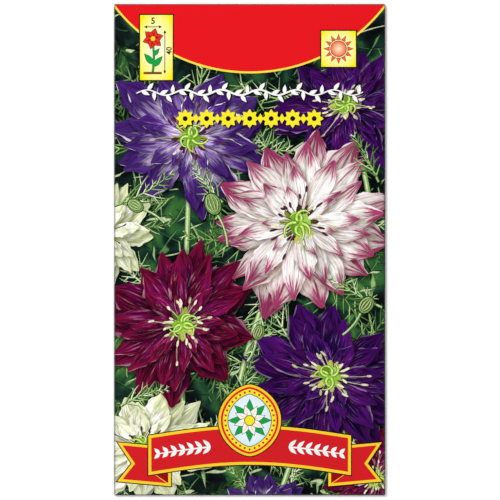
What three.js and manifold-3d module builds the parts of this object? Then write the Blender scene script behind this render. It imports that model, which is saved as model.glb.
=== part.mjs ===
// A flat paper seed packet, lying on its back: one folded and glued sheet of coated paper,
// the three glue lines that hold it shut, and the charge of seeds inside.
// Millimetres, +Z up out of the front panel, +Y towards the top of the packet. The origin is
// the middle of the back, on the surface that the packet lies on.

import * as THREE from "three";
import { mergeVertices } from "three/addons/utils/BufferGeometryUtils.js";
import Module from "manifold-3d";

// ---- Driving dimensions ----

const PACKET_WIDTH = 80;
const PACKET_HEIGHT = 145;

const PAPER = 0.12; // coated label paper of about 100 g/m2
const GLUE = 0.06; // a dried line of adhesive
const CLEARANCE = 0.02; // between a glue line and the paper on either side

const SEAM_FLAP = 12; // folded in from the front panel's right edge, under the back panel
const SEAM_END_GAP = 2; // the seam flap stops short of both ends by this much
const SEAM_TAPER = 4; // and its free edge is shorter again by this much at each end
const BOTTOM_FLAP = 14; // folded from the front panel up over the back panel
const TOP_FLAP = 17; // closes the mouth, over the back panel, once the packet is filled
const FLAP_TAPER = 3; // how far each end flap narrows at each side
const BACK_END_GAP = 0.5; // the back panel's cut ends stop short of the end folds
const BACK_FREE_EDGE = 38.8; // where the back panel's cut edge lies over the seam flap

const AIR_RISE = 1.0; // how far the front panel stands off by itself
const SEED_RISE = 1.25; // how much further the seeds lift it
const SEED_BED = new THREE.Vector2(0, -40); // middle of the bed of seeds
const SEED_BED_RADII = new THREE.Vector2(14.5, 8);
const UPPER_LAYER_SHARE = 0.45; // size of the second layer of seeds, as a share of the first
const MOUND_REACH = new THREE.Vector2(27, 24); // how far the lift over the seeds spreads
// Powers for crown(), below, across and along the packet: the higher, the flatter the top.
const AIR_CROWN = new THREE.Vector2(2.4, 4);
const MOUND_CROWN = new THREE.Vector2(4, 8);
const SAG_MARGIN = 1.5; // the back panel starts to come down this far from its seams and flaps
const SAG_REACH = 4; // and lies on the surface after this distance more

const SEED_LENGTH = 2.4; // love-in-a-mist seed: three-cornered, pointed at both ends
const SEED_RADIUS = 0.9; // from its axis to a corner
const SEED_PITCH = new THREE.Vector2(1.8, 1.45); // how closely the seeds lie
const SEED_SCATTER = 0.4; // how far a seed may be from its place in the rows, in all
const SEED_FLOOR_GAP = 0.03;
const RANDOM_START = 11; // the seeds lie the same way each time

const SEAM_GLUE = new THREE.Vector2(5, 124); // width and length of each line of glue
const END_GLUE = new THREE.Vector2(6, 66);

// ---- How finely the sheet is divided ----

const FOLD_STEPS = 4;
const FLAP_STEPS = 3;
const SEAM_STEPS = 2; // over the back panel's glued edge
const SAG_STEPS = 2; // where the back panel comes down
const BACK_STEPS = 8; // across the flat middle of the back panel
const FRONT_STEPS = 14; // across the front panel
const BODY_STEPS = 17; // along both panels, between the flaps
const GLUE_END_STEPS = 6; // round the half circle at a glue line's end

// ---- Levels of the sheet's middle surface, from the surface up ----

const LAYER = PAPER + GLUE + 2 * CLEARANCE; // from one glued sheet to the next
const FLAP_LEVEL = PAPER / 2;
const BACK_LEVEL = FLAP_LEVEL + LAYER;
const SEAM_LEVEL = BACK_LEVEL + LAYER;
const FRONT_LEVEL = SEAM_LEVEL + LAYER;

const LEFT_FOLD = (FRONT_LEVEL - BACK_LEVEL) / 2; // fold radii, of the middle surface
const RIGHT_FOLD = (FRONT_LEVEL - SEAM_LEVEL) / 2;
const END_FOLD = (FRONT_LEVEL - FLAP_LEVEL) / 2;

// The flat front panel inside its four folds.
const LEFT = -PACKET_WIDTH / 2 + LEFT_FOLD + PAPER / 2;
const RIGHT = PACKET_WIDTH / 2 - RIGHT_FOLD - PAPER / 2;
const TOP = PACKET_HEIGHT / 2 - END_FOLD - PAPER / 2;
const BOTTOM = -TOP;

const { clamp, lerp, smoothstep, degToRad } = THREE.MathUtils;

// ---- The swell of the packet ----

// 1 in the middle of a span and 0 at its ends; a higher power keeps it full further out.
function crown(at, half, power) {
  return 1 - clamp(Math.abs(at) / half, 0, 1) ** power;
}

function frontHeight(x, y) {
  const pillow = crown(x, RIGHT, AIR_CROWN.x) * crown(y, TOP, AIR_CROWN.y);
  const dx = (x - SEED_BED.x) / MOUND_REACH.x;
  const dy = (y - SEED_BED.y) / MOUND_REACH.y;
  const mound = Math.exp(-(dx * dx + dy * dy));
  const held = crown(x, RIGHT, MOUND_CROWN.x) * crown(y, TOP, MOUND_CROWN.y);
  return FRONT_LEVEL + AIR_RISE * pillow + SEED_RISE * mound * held;
}

// The back panel lies on the surface in its middle and rises to its seams and flaps.
const SAG_LEFT = LEFT + SAG_MARGIN;
const SAG_RIGHT = RIGHT - SEAM_FLAP - SAG_MARGIN;
const SAG_BOTTOM = BOTTOM + BOTTOM_FLAP + SAG_MARGIN;
const SAG_TOP = TOP - TOP_FLAP - SAG_MARGIN;

function backHeight(x, y) {
  const across = smoothstep(x, SAG_LEFT, SAG_LEFT + SAG_REACH) *
    (1 - smoothstep(x, SAG_RIGHT - SAG_REACH, SAG_RIGHT));
  const along = smoothstep(y, SAG_BOTTOM, SAG_BOTTOM + SAG_REACH) *
    (1 - smoothstep(y, SAG_TOP - SAG_REACH, SAG_TOP));
  return BACK_LEVEL - (BACK_LEVEL - FLAP_LEVEL) * across * along;
}

// ---- The blank: stations across it and along it ----

// Evenly spaced values from start to end, both included.
function steps(start, end, count) {
  return Array.from({ length: count + 1 }, (_, i) => lerp(start, end, i / count));
}

// Values from the first stop to the last, with a number of even steps between each two stops.
function through(stops, counts) {
  return stops.slice(1).flatMap((stop, i) => steps(stops[i], stop, counts[i]).slice(i ? 1 : 0));
}

// Across the blank, from the back panel's free edge, round the left fold, over the front panel,
// round the right fold and under it to the seam flap's free edge. Each station has its part and
// its place there: an x, or a share of the half turn in a fold and of the width in a flap.
const across = [
  ...through(
    [BACK_FREE_EDGE, SAG_RIGHT, SAG_RIGHT - SAG_REACH, SAG_LEFT + SAG_REACH, SAG_LEFT],
    [SEAM_STEPS, SAG_STEPS, BACK_STEPS, SAG_STEPS],
  ).map((x) => ({ part: "back", x })),
  ...steps(1, 0, FOLD_STEPS).map((turn) => ({ part: "leftFold", turn })),
  ...steps(LEFT, RIGHT, FRONT_STEPS).slice(1, -1).map((x) => ({ part: "front", x })),
  ...steps(0, 1, FOLD_STEPS).map((turn) => ({ part: "rightFold", turn })),
  ...steps(0, 1, FLAP_STEPS).slice(1).map((share) => ({ part: "seamFlap", share })),
];

// Along the blank, from the bottom flap's free edge, round the bottom fold, up the panels, round
// the top fold and down to the top flap's free edge.
const bodyStops = [
  ...[BACK_END_GAP, SEAM_END_GAP, BOTTOM_FLAP / 2].map((rise) => BOTTOM + rise),
  ...through(
    [SAG_BOTTOM, SAG_BOTTOM + SAG_REACH, SAG_TOP - SAG_REACH, SAG_TOP],
    [SAG_STEPS, BODY_STEPS, SAG_STEPS],
  ),
  ...[TOP_FLAP / 2, SEAM_END_GAP, BACK_END_GAP].map((drop) => TOP - drop),
];
const along = [
  ...steps(1, 0, FLAP_STEPS).slice(0, -1).map((share) => ({ part: "bottomFlap", share })),
  ...steps(1, 0, FOLD_STEPS).map((turn) => ({ part: "bottomFold", turn })),
  ...bodyStops.map((y) => ({ part: "body", y })),
  ...steps(0, 1, FOLD_STEPS).map((turn) => ({ part: "topFold", turn })),
  ...steps(0, 1, FLAP_STEPS).slice(1).map((share) => ({ part: "topFlap", share })),
];

// A station at the start of a fold lies on the front panel's own edge, so it belongs to both.
const onFront = (a) => a.part === "front" || a.turn === 0;
const onBody = (b) => b.part === "body" || b.turn === 0;
const bodyY = (b) => b.y ?? (b.part === "bottomFold" ? BOTTOM : TOP);
const frontX = (a) => a.x ?? (a.part === "leftFold" ? LEFT : RIGHT);

// Whether a cell of the grid, between two stations each way, is part of the cut blank.
function inBlank(a0, a1, b0, b1) {
  if (onFront(a0) && onFront(a1)) return true;
  if (!(onBody(b0) && onBody(b1))) return false;
  const isSeam = [a0, a1].some((a) => a.part === "seamFlap" || a.part === "rightFold");
  const gap = isSeam ? SEAM_END_GAP : BACK_END_GAP;
  const middle = (bodyY(b0) + bodyY(b1)) / 2;
  return middle > BOTTOM + gap && middle < TOP - gap;
}

// Where a point of the blank's middle surface lies once it is folded.
function folded(a, b) {
  if (!onFront(a)) {
    const y = bodyY(b);
    if (a.part === "back") return new THREE.Vector3(a.x, y, backHeight(a.x, y));
    if (a.part === "seamFlap") {
      const x = RIGHT - a.share * SEAM_FLAP;
      return new THREE.Vector3(x, y * (1 - (a.share * SEAM_TAPER) / TOP), SEAM_LEVEL);
    }
    const isLeft = a.part === "leftFold";
    const radius = isLeft ? LEFT_FOLD : RIGHT_FOLD;
    const turn = a.turn * Math.PI;
    const out = radius * Math.sin(turn);
    return new THREE.Vector3(isLeft ? LEFT - out : RIGHT + out, y,
      FRONT_LEVEL - radius * (1 - Math.cos(turn)));
  }
  const x = frontX(a);
  if (onBody(b)) return new THREE.Vector3(x, bodyY(b), frontHeight(x, bodyY(b)));
  const isBottom = b.part.startsWith("bottom");
  const edge = isBottom ? BOTTOM : TOP;
  const outward = isBottom ? -1 : 1;
  if (b.part.endsWith("Flap")) {
    const depth = isBottom ? BOTTOM_FLAP : TOP_FLAP;
    const narrowed = x * (1 - (b.share * FLAP_TAPER) / RIGHT);
    return new THREE.Vector3(narrowed, edge - outward * b.share * depth, FLAP_LEVEL);
  }
  const turn = b.turn * Math.PI;
  return new THREE.Vector3(x, edge + outward * END_FOLD * Math.sin(turn),
    FRONT_LEVEL - END_FOLD * (1 - Math.cos(turn)));
}

// ---- The folded sheet as one closed solid ----

// Thickens a surface of quads, given by its corner points, to a closed sheet.
function thickened(points, quads, thickness) {
  const normals = points.map(() => new THREE.Vector3());
  for (const [a, b, c, d] of quads) {
    const diagonal = points[c].clone().sub(points[a]);
    const normal = diagonal.cross(points[d].clone().sub(points[b]));
    for (const corner of [a, b, c, d]) normals[corner].add(normal.clone().normalize());
  }
  const shifted = (side) => points.map((p, i) =>
    p.clone().addScaledVector(normals[i].normalize(), (side * thickness) / 2));
  const vertices = [...shifted(1), ...shifted(-1)];
  const inner = points.length;

  const open = new Map(); // the edges that only one quad uses, which are the cut edges
  for (const quad of quads) {
    quad.forEach((from, i) => {
      const to = quad[(i + 1) % 4];
      if (!open.delete(`${to},${from}`)) open.set(`${from},${to}`, [from, to]);
    });
  }
  const all = [];
  for (const [a, b, c, d] of quads) {
    all.push([a, b, c, d], [d + inner, c + inner, b + inner, a + inner]);
  }
  for (const [from, to] of open.values()) all.push([to, from, from + inner, to + inner]);

  const geometry = new THREE.BufferGeometry().setFromPoints(vertices);
  geometry.setIndex(all.flatMap(([a, b, c, d]) => [a, b, c, a, c, d]));
  geometry.computeVertexNormals();
  return geometry;
}

function sachetGeometry() {
  const points = [];
  const indexOf = new Map();
  const corner = (i, j) => {
    const key = i * along.length + j;
    if (!indexOf.has(key)) {
      indexOf.set(key, points.length);
      points.push(folded(across[i], along[j]));
    }
    return indexOf.get(key);
  };
  const quads = [];
  for (let i = 0; i < across.length - 1; i += 1) {
    for (let j = 0; j < along.length - 1; j += 1) {
      if (!inBlank(across[i], across[i + 1], along[j], along[j + 1])) continue;
      quads.push([corner(i, j), corner(i + 1, j), corner(i + 1, j + 1), corner(i, j + 1)]);
    }
  }
  return thickened(points, quads, PAPER);
}

// ---- Glue lines ----

// A flat line of glue with round ends, x wide and y long, lying between two sheets.
function glueGeometry(size) {
  const radius = size.x / 2;
  const reach = size.y / 2 - radius;
  const outline = new THREE.Shape();
  outline.absarc(0, reach, radius, 0, Math.PI, false);
  outline.absarc(0, -reach, radius, Math.PI, 2 * Math.PI, false);
  outline.closePath();
  return new THREE.ExtrudeGeometry(outline, {
    depth: GLUE,
    bevelEnabled: false,
    curveSegments: GLUE_END_STEPS,
  });
}

// ---- The bed of seeds ----

// A small repeatable generator of numbers from 0 to 1.
function randomFrom(seed) {
  let state = seed;
  return () => {
    state = (state * 1664525 + 1013904223) % 4294967296;
    return state / 4294967296;
  };
}

// One seed along X, lying on one of its three flat sides, its underside at -SEED_RADIUS / 2.
function seedGeometry() {
  const rings = [[-0.5, 0], [-0.24, 0.92], [0.16, 1], [0.5, 0]]; // share of length, of radius
  const corners = [90, 210, 330].map(degToRad);
  const vertices = rings.flatMap(([place, size]) =>
    (size ? corners : [0]).map((angle) => new THREE.Vector3(
      place * SEED_LENGTH,
      size * SEED_RADIUS * Math.cos(angle),
      size * SEED_RADIUS * Math.sin(angle))));
  const [tail, head] = [0, vertices.length - 1];
  const faces = [0, 1, 2].flatMap((k) => {
    const next = (k + 1) % 3;
    const [a, b] = [1 + k, 1 + next];
    const [c, d] = [4 + k, 4 + next];
    return [tail, b, a, a, b, c, b, d, c, c, d, head];
  });
  return new THREE.BufferGeometry().setFromPoints(vertices).setIndex(faces);
}

const wasm = await Module();
wasm.setup();

// A closed geometry, placed by a matrix, as a solid to join.
function solidOf(geometry, matrix) {
  const bare = new THREE.BufferGeometry();
  bare.setAttribute("position", geometry.getAttribute("position").clone());
  bare.setIndex(geometry.getIndex());
  bare.applyMatrix4(matrix);
  const merged = mergeVertices(bare, 1e-4);
  return new wasm.Manifold(new wasm.Mesh({
    numProp: 3,
    vertProperties: merged.getAttribute("position").array,
    triVerts: new Uint32Array(merged.getIndex().array),
  }));
}

function geometryOf(solid) {
  const mesh = solid.getMesh();
  const geometry = new THREE.BufferGeometry();
  geometry.setAttribute("position", new THREE.BufferAttribute(mesh.vertProperties, 3));
  geometry.setIndex(new THREE.BufferAttribute(mesh.triVerts, 1));
  geometry.computeVertexNormals();
  return geometry;
}

// Places for one layer of seeds: staggered rows inside an ellipse, each seed a little out of line.
function seedPlaces(share, level, random) {
  const radii = SEED_BED_RADII.clone().multiplyScalar(share);
  const rows = Math.ceil(radii.y / SEED_PITCH.y);
  const columns = Math.ceil(radii.x / SEED_PITCH.x) + 1;
  const places = [];
  for (let row = -rows; row <= rows; row += 1) {
    for (let column = -columns; column <= columns; column += 1) {
      const x = (column + (row % 2) / 2) * SEED_PITCH.x + (random() - 0.5) * SEED_SCATTER;
      const y = row * SEED_PITCH.y + (random() - 0.5) * SEED_SCATTER;
      const yaw = random() * Math.PI;
      if (Math.hypot(x / radii.x, y / radii.y) > 1) continue;
      places.push(new THREE.Matrix4().makeRotationZ(yaw).setPosition(
        SEED_BED.x + x, SEED_BED.y + y, level));
    }
  }
  return places;
}

// The seeds lie against each other and are joined where they touch.
function seedBedGeometry() {
  const random = randomFrom(RANDOM_START);
  const seed = seedGeometry();
  const firstLevel = PAPER + SEED_FLOOR_GAP + SEED_RADIUS / 2;
  const places = [
    ...seedPlaces(1, firstLevel, random),
    ...seedPlaces(UPPER_LAYER_SHARE, firstLevel + SEED_RADIUS, random),
  ];
  const joined = places.reduce((sum, matrix) => {
    const next = solidOf(seed, matrix);
    return sum ? sum.add(next) : next;
  }, null);
  const bodies = joined.decompose().sort((a, b) => b.volume() - a.volume());
  return geometryOf(bodies[0]);
}

// ---- The packet ----

const packet = new THREE.Group();

function place(name, geometry, material, position = [0, 0, 0], turn = 0) {
  const mesh = new THREE.Mesh(geometry, material);
  mesh.name = name;
  mesh.position.set(...position);
  mesh.rotation.z = turn;
  packet.add(mesh);
}

const glue = new THREE.MeshStandardMaterial({ color: 0xd9cfae, roughness: 0.4, metalness: 0 });
const print = new THREE.MeshStandardMaterial({ color: 0x8a3a78, roughness: 0.35, metalness: 0 });
const seedCoat = new THREE.MeshStandardMaterial({ color: 0x17130f, roughness: 0.85, metalness: 0 });

const overBack = BACK_LEVEL + PAPER / 2 + CLEARANCE;
const overFlap = FLAP_LEVEL + PAPER / 2 + CLEARANCE;

place("sachet", sachetGeometry(), print);
place("seam_glue", glueGeometry(SEAM_GLUE), glue,
  [RIGHT - SEAM_FLAP / 2, 0, overBack]);
place("bottom_flap_glue", glueGeometry(END_GLUE), glue,
  [0, BOTTOM + BOTTOM_FLAP / 2, overFlap], Math.PI / 2);
place("top_flap_glue", glueGeometry(END_GLUE), glue,
  [0, TOP - TOP_FLAP / 2, overFlap], Math.PI / 2);
place("seeds", seedBedGeometry(), seedCoat);

export default packet;
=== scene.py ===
import random
from functools import partial
from math import atan2, ceil, cos, fmod, hypot, pi, sin, sqrt
from typing import NamedTuple

import bpy
import numpy as np
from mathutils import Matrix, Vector
from mathutils.geometry import delaunay_2d_cdt


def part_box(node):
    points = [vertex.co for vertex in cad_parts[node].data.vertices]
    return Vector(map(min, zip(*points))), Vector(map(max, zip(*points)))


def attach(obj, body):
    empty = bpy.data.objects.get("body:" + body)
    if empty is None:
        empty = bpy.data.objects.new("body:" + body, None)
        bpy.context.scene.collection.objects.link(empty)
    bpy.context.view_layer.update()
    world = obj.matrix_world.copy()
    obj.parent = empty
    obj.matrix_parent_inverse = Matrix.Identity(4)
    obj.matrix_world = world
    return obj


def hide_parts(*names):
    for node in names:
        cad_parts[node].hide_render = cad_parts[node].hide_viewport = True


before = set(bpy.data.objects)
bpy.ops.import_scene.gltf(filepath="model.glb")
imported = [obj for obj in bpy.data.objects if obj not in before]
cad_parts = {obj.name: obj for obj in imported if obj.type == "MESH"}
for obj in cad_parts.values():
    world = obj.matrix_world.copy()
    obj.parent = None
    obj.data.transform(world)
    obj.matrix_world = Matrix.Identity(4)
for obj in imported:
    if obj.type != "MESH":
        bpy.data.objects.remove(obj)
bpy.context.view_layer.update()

# The looks of a paper seed packet that lies on its back: the printed and folded sheet, the seeds
# in it and its glue. Lengths are in millimetres up to the point where a mesh is made. The print
# is drawn flat, on the cut blank, and the blank is then folded. On the blank, x and y are the
# same as on the finished packet's front, and go on round the folds to the back and the flaps.

MM = 0.001

# ---- The packet's sizes, as its solids have them ----

LOW, HIGH = (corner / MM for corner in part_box("sachet"))
PAPER, GLUE, CLEARANCE = 0.12, 0.06, 0.02
LAYER = PAPER + GLUE + 2 * CLEARANCE  # from one glued sheet to the next

FLAP_LEVEL = PAPER / 2  # of the middle of the sheet's thickness
BACK_LEVEL = FLAP_LEVEL + LAYER
SEAM_LEVEL = BACK_LEVEL + LAYER
FRONT_LEVEL = SEAM_LEVEL + LAYER

LEFT_FOLD = (FRONT_LEVEL - BACK_LEVEL) / 2  # fold radii
RIGHT_FOLD = (FRONT_LEVEL - SEAM_LEVEL) / 2
END_FOLD = (FRONT_LEVEL - FLAP_LEVEL) / 2

LEFT = LOW.x + LEFT_FOLD + PAPER / 2  # the front panel inside its folds
RIGHT = HIGH.x - RIGHT_FOLD - PAPER / 2
TOP = HIGH.y - END_FOLD - PAPER / 2
BOTTOM = -TOP

SEAM_FLAP, BOTTOM_FLAP, TOP_FLAP = 12, 14, 17
SEAM_TAPER, FLAP_TAPER = 4, 3
SEAM_END_GAP, BACK_END_GAP = 2, 0.5
BACK_FREE_EDGE = 38.8
END_HALF = 39.9  # half the packet's width at its end folds
SLIT = 0.03  # half the cut that parts an end fold from a side fold

AIR_RISE, SEED_RISE = 1.0, 1.25  # how far air and seeds lift the front
SEED_BED = (0, -40)
MOUND_REACH = (27, 24)
AIR_CROWN, MOUND_CROWN = (2.4, 4), (4, 8)
SAG_MARGIN, SAG_REACH = 1.5, 4
HANDLING = 0.1  # how deep the soft dents from handling are, always inwards

# Where the folds end on the blank, and the back and the flaps begin, and then its cut edges.
LEFT_END = LEFT - pi * LEFT_FOLD
RIGHT_END = RIGHT + pi * RIGHT_FOLD
TOP_END = TOP + pi * END_FOLD
BACK_EDGE = LEFT_END - (BACK_FREE_EDGE - LEFT)
SEAM_EDGE = RIGHT_END + SEAM_FLAP
TOP_EDGE = TOP_END + TOP_FLAP
BOTTOM_EDGE = -TOP_END - BOTTOM_FLAP


# ---- The folded sheet ----


def smooth(low, high, at):
    """0 below low and 1 above high, with a smooth rise between."""
    share = np.clip((at - low) / (high - low), 0, 1)
    return share * share * (3 - 2 * share)


def crown(at, half, power):
    """1 in the middle of a span and 0 at its ends."""
    return 1 - np.clip(np.abs(at) / half, 0, 1) ** power


def front_height(x, y):
    air = AIR_RISE * crown(x, RIGHT, AIR_CROWN[0]) * crown(y, TOP, AIR_CROWN[1])
    dx = (x - SEED_BED[0]) / MOUND_REACH[0]
    dy = (y - SEED_BED[1]) / MOUND_REACH[1]
    held = crown(x, RIGHT, MOUND_CROWN[0]) * crown(y, TOP, MOUND_CROWN[1])
    mound = SEED_RISE * np.exp(-(dx * dx + dy * dy)) * held
    waves = np.sin(x / 7 + 1.4 * np.sin(y / 12)) * np.cos(y / 9 - x / 17)
    dents = HANDLING * (0.5 + 0.5 * waves) * held
    return FRONT_LEVEL + air + mound - dents


def back_drop(x, y):
    """How far the back panel comes down between its seams and flaps, to the surface."""
    left, right = LEFT + SAG_MARGIN, RIGHT - SEAM_FLAP - SAG_MARGIN
    bottom, top = BOTTOM + BOTTOM_FLAP + SAG_MARGIN, TOP - TOP_FLAP - SAG_MARGIN
    across = smooth(left, left + SAG_REACH, x) * (1 - smooth(right - SAG_REACH, right, x))
    along = smooth(bottom, bottom + SAG_REACH, y) * (1 - smooth(top - SAG_REACH, top, y))
    return (BACK_LEVEL - FLAP_LEVEL) * across * along


def folded(s, t):
    """Where points of the blank lie once it is folded, in the middle of the sheet."""
    at_end = np.abs(t) > TOP
    left = np.where(at_end, 0, np.clip((LEFT - s) / LEFT_FOLD, 0, pi))
    right = np.where(at_end, 0, np.clip((s - RIGHT) / RIGHT_FOLD, 0, pi))
    end = np.clip((np.abs(t) - TOP) / END_FOLD, 0, pi)
    past_left = np.maximum(LEFT_END - s, 0)
    past_right = np.maximum(s - RIGHT_END, 0)
    past_end = np.maximum(np.abs(t) - TOP_END, 0)
    x, y = np.where(at_end, s, np.clip(s, LEFT, RIGHT)), np.clip(t, BOTTOM, TOP)
    z = front_height(x, y)
    x = x - LEFT_FOLD * np.sin(left) + past_left + RIGHT_FOLD * np.sin(right) - past_right
    y = y + np.sign(t) * (END_FOLD * np.sin(end) - past_end)
    for radius, turn in ((LEFT_FOLD, left), (RIGHT_FOLD, right), (END_FOLD, end)):
        z = z - radius * (1 - np.cos(turn))
    z = z - np.where(past_left > 0, back_drop(x, y), 0)
    return np.stack([x, y, z], -1)


def sheet_at(flat):
    """Middle points of the folded sheet, and the way its printed side faces there."""
    s, t = flat.T
    step = 0.02
    across = folded(s + step, t) - folded(s - step, t)
    along = folded(s, t + step) - folded(s, t - step)
    facing = np.cross(across, along)
    return folded(s, t), facing / np.linalg.norm(facing, axis=1, keepdims=True)


# ---- The cut blank ----

OUTLINE_STEP = 1.5
FOLD_STEPS = 6


def between(start, end, spacing):
    """Points from start up to but not including end, evenly spaced."""
    start, end = np.array(start, float), np.array(end, float)
    count = max(1, ceil(np.linalg.norm(end - start) / spacing))
    return start + (end - start) * np.arange(count)[:, None] / count


def blank_outline():
    """The blank's cut edge, with a slit at each corner between the end fold and the side fold."""
    seam, back = TOP - SEAM_END_GAP, TOP - BACK_END_GAP
    narrow = 1 - FLAP_TAPER / RIGHT
    seam_top = seam * (1 - SEAM_TAPER / TOP)

    def flap_side(side, end, edge):
        """From a flap's free corner to its slit and the side fold."""
        x = RIGHT if side > 0 else LEFT
        return [(x * narrow, edge), (side * END_HALF, end * TOP_END), (side * END_HALF, end * (TOP + SLIT)),
                (x, end * (TOP + SLIT)), (x, end * (TOP - SLIT))]

    corners = [
        *flap_side(1, -1, BOTTOM_EDGE), (RIGHT_END, SLIT - TOP), (RIGHT_END, -seam),
        (SEAM_EDGE, -seam_top), (SEAM_EDGE, seam_top),
        (RIGHT_END, seam), (RIGHT_END, TOP - SLIT), *flap_side(1, 1, TOP_EDGE)[::-1],
        *flap_side(-1, 1, TOP_EDGE), (LEFT_END, TOP - SLIT), (LEFT_END, back),
        (BACK_EDGE, back), (BACK_EDGE, -back),
        (LEFT_END, -back), (LEFT_END, SLIT - TOP), *flap_side(-1, -1, BOTTOM_EDGE)[::-1],
    ]
    return np.concatenate([between(a, b, OUTLINE_STEP) for a, b in zip(corners, corners[1:] + corners[:1])])


def fold_lines():
    """Straight lines along every fold, which no triangle of the sheet crosses."""
    lines = []
    for turn in np.linspace(0, pi, FOLD_STEPS + 1):
        for x in (LEFT - turn * LEFT_FOLD, RIGHT + turn * RIGHT_FOLD):
            lines.append(((x, SLIT - TOP), (x, TOP - SLIT)))
        for y in (-TOP - turn * END_FOLD, TOP + turn * END_FOLD):
            lines.append(((-END_HALF, y), (END_HALF, y)))
    return lines


def staggered(low, high, spacing):
    """Points in staggered rows over a rectangle, clear of its sides."""
    rise = spacing * sqrt(3) / 2
    points = []
    for row, y in enumerate(np.arange(low[1] + rise / 2, high[1] - rise / 4, rise)):
        xs = np.arange(low[0] + spacing * (0.35 + 0.5 * (row % 2)), high[0] - spacing / 4, spacing)
        points.extend((x, y) for x in xs)
    return points


def even_points(front, rest):
    """Points that keep the triangles small, at one spacing on the front and another elsewhere."""
    flap_left, flap_right = LEFT + FLAP_TAPER, RIGHT - FLAP_TAPER
    return [
        *staggered((LEFT, BOTTOM), (RIGHT, TOP), front),
        *staggered((BACK_EDGE, BOTTOM), (LEFT_END, TOP), rest),
        *staggered((RIGHT_END, -TOP + SEAM_TAPER), (SEAM_EDGE, TOP - SEAM_TAPER), rest),
        *staggered((flap_left, TOP_END), (flap_right, TOP_EDGE), rest),
        *staggered((flap_left, BOTTOM_EDGE), (flap_right, -TOP_END), rest),
    ]


# ---- What is printed: shapes of ink on the blank, each over the ones before it ----


class Shape(NamedTuple):
    outline: np.ndarray  # anticlockwise
    ink: str
    tone: float = 0.5  # from dark to light, for inks that vary
    form: object = None  # what gives places within the shape, its light and its shadow


def anticlockwise(points):
    points = np.array(points, float)
    ahead = np.roll(points, -1, axis=0)
    area = (points[:, 0] * ahead[:, 1] - ahead[:, 0] * points[:, 1]).sum()
    return points if area > 0 else points[::-1]


def inked(ink, *outlines, tone=0.5, form=None):
    return [Shape(anticlockwise(outline), ink, tone, form) for outline in outlines]


def turning(angle):
    """What rows of points are multiplied by to turn them anticlockwise."""
    return np.array([[cos(angle), sin(angle)], [-sin(angle), cos(angle)]])


def turned(points, angle, place=(0, 0)):
    return np.array(points, float) @ turning(angle) + place


def out_from(place, angle, distance):
    return turned([(distance, 0)], angle, place)[0]


def ellipse(place, radii, angle=0, steps=20):
    turn = np.linspace(0, 2 * pi, steps, endpoint=False)
    return turned(np.stack([radii[0] * np.cos(turn), radii[1] * np.sin(turn)], 1), angle, place)


def curve(start, heading, length, bend, steps=8):
    """Points on a curve that turns evenly by bend, in radians, from its first heading."""
    turns = heading + bend * (np.arange(steps) + 0.5) / steps
    moves = np.stack([np.cos(turns), np.sin(turns)], 1) * length / steps
    return np.concatenate([[start], start + np.cumsum(moves, 0)])


def stroke(path, widths):
    """The outline of a line with the given width at each of its points."""
    path = np.array(path, float)
    along = np.gradient(path, axis=0)
    along /= np.linalg.norm(along, axis=1, keepdims=True)
    aside = np.stack([-along[:, 1], along[:, 0]], 1) * np.array(widths)[:, None] / 2
    return np.concatenate([path + aside, (path - aside)[::-1]])


def tapered(count, start, middle, end):
    return np.interp(np.linspace(0, 1, count), [0, 0.35, 1], [start, middle, end])


# ---- Petals ----

LIGHT_FROM = np.array([-0.6, 0.8])  # across the picture


class Petal:
    """A pointed petal. u runs from its base, 0, to its tip, 1, and v across it, from -1 to 1."""

    def __init__(self, draw, place, lean, angle, length, width, lightness):
        self.place, self.length, self.half, self.lightness = place, length, width / 2, lightness
        self.bend = draw.uniform(-0.14, 0.14) * length
        self.rise = draw.uniform(0.95, 1.25)
        self.fall = draw.uniform(0.6, 0.85)
        self.tone = draw.random()
        self.cup = draw.choice((-1, 1)) * draw.uniform(0.15, 0.4)
        self.curl = draw.uniform(-0.35, 0.4)
        self.wave = draw.uniform(0, 2 * pi)
        self.teeth = draw.uniform(0.05, 0.16)
        self.to_sheet = lean @ turning(-angle)
        self.from_sheet = np.linalg.inv(self.to_sheet)

    def half_width(self, u):
        peak = self.rise / (self.rise + self.fall)
        top = peak**self.rise * (1 - peak) ** self.fall
        u = np.clip(u, 0, 1)
        blade = u**self.rise * (1 - u) ** self.fall / top
        point = 1 - 0.45 * smooth(0.72, 0.97, u)
        return self.half * (0.06 + 0.94 * blade) * point

    def outline(self):
        u = 1 - (1 - np.linspace(0, 1, 28)) ** 1.25
        sides = []
        for side in (1, -1):
            teeth = 1 + self.teeth * smooth(0.5, 0.8, u) * np.sin(u * 37 + self.wave + side)
            y = side * self.half_width(u) * np.where(u < 1, teeth, 0) + self.bend * u * u
            sides.append(np.stack([u * self.length, y], 1))
        local = np.concatenate([sides[1], sides[0][-2::-1]])
        return local @ self.to_sheet.T + self.place

    def measured(self, points):
        """How far points are along the petal, in mm and as a share, and aside of its bent middle."""
        x, y = ((points - self.place) @ self.from_sheet.T).T
        u = x / self.length
        return x, u, y - self.bend * u * np.abs(u)

    def local(self, points):
        _, u, aside = self.measured(points)
        return u, np.clip(aside / self.half_width(u), -1.2, 1.2)

    def outside(self, points):
        """How far points are outside the petal, in mm, and below 0 inside it."""
        x, u, aside = self.measured(points)
        return np.maximum(np.abs(aside) - self.half_width(u), np.maximum(x - self.length, -x))

    def light(self, u, v):
        ahead, aside = LIGHT_FROM @ self.to_sheet
        light = 1 + self.cup * v * aside + self.curl * (u - 0.5) * ahead
        light += 0.09 * np.sin(9 * u + 2 * v + self.wave)
        light *= 0.45 + 0.55 * smooth(0.02, 0.36, u)
        return light * self.lightness


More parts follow.
